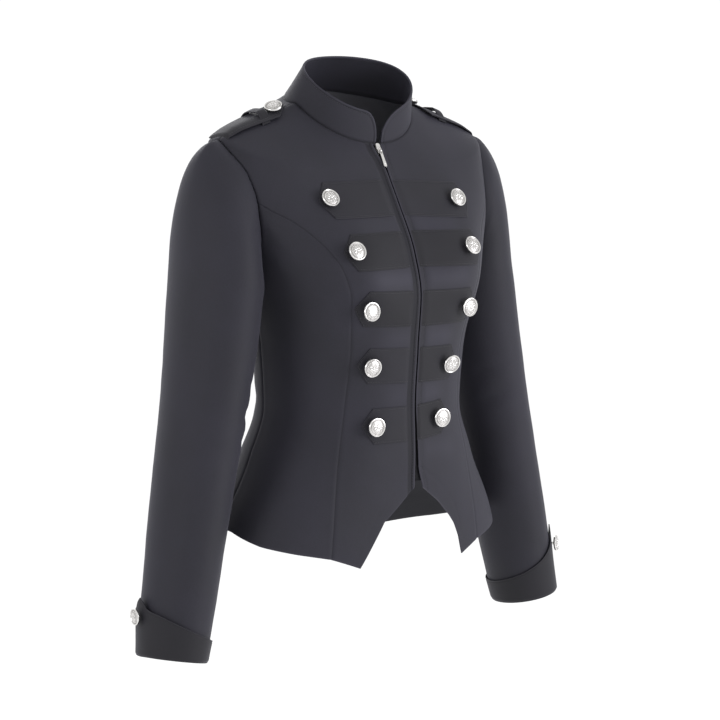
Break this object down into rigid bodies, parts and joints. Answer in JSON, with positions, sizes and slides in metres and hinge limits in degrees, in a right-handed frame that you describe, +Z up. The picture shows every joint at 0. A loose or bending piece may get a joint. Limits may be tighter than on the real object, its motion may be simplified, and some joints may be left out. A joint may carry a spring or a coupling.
{
  "type": "military-style blazer",
  "caption": "Fitted stand-collar jacket, filled out as worn, with a zipped front, buttoned pointed bands, shoulder straps, princess seams, turned cuffs and a pointed cutaway hem.",
  "frame": {"origin": "inside the jacket between its shoulders, on its middle plane, level with the outer ends of the shoulder seams, where the wearer's shoulders carry it", "axes": "+Z up; -Y is the way the front faces; +X is the wearer's left"},
  "size_m": [0.606, 0.2465, 0.6669],
  "materials": {
    "slate_gabardine": "smooth woven cloth, very dark slate, faint sheen",
    "black_zip_tape": "woven zip tape with a coil, near black",
    "antique_silver": "silver-coloured cast metal, satin"
  },
  "bodies": {
    "jacket": {"back": "slate_gabardine", "centre_front_R": "slate_gabardine", "centre_front_L": "slate_gabardine", "side_front_R": "slate_gabardine", "side_front_L": "slate_gabardine", "side_back_R": "slate_gabardine", "side_back_L": "slate_gabardine", "collar": "slate_gabardine", "sleeve_R": "slate_gabardine", "sleeve_L": "slate_gabardine", "cuff_R": "slate_gabardine", "cuff_L": "slate_gabardine", "epaulette_R": "slate_gabardine", "epaulette_L": "slate_gabardine", "epaulette_loop_R": "slate_gabardine", "epaulette_loop_L": "slate_gabardine", "band_R1": "slate_gabardine", "band_R2": "slate_gabardine", "band_R3": "slate_gabardine", "band_R4": "slate_gabardine", "band_R5": "slate_gabardine", "band_L1": "slate_gabardine", "band_L2": "slate_gabardine", "band_L3": "slate_gabardine", "band_L4": "slate_gabardine", "band_L5": "slate_gabardine", "button_R1": "antique_silver", "button_R2": "antique_silver", "button_R3": "antique_silver", "button_R4": "antique_silver", "button_R5": "antique_silver", "button_L1": "antique_silver", "button_L2": "antique_silver", "button_L3": "antique_silver", "button_L4": "antique_silver", "button_L5": "antique_silver", "cuff_button_R": "antique_silver", "cuff_button_L": "antique_silver", "epaulette_button_R": "antique_silver", "epaulette_button_L": "antique_silver", "zip_tape_R": "black_zip_tape", "zip_tape_L": "black_zip_tape", "zip_slider": "antique_silver"},
    "pull": {"zip_pull": "antique_silver"}
  },
  "joints": [
    {"name": "zip_pull_swing", "type": "hinge", "parent": "jacket", "child": "pull", "pos_m": [-0.0015, -0.06217, -0.01509], "axis": [-1, 0, 0], "range_deg": [0, 130]}
  ]
}
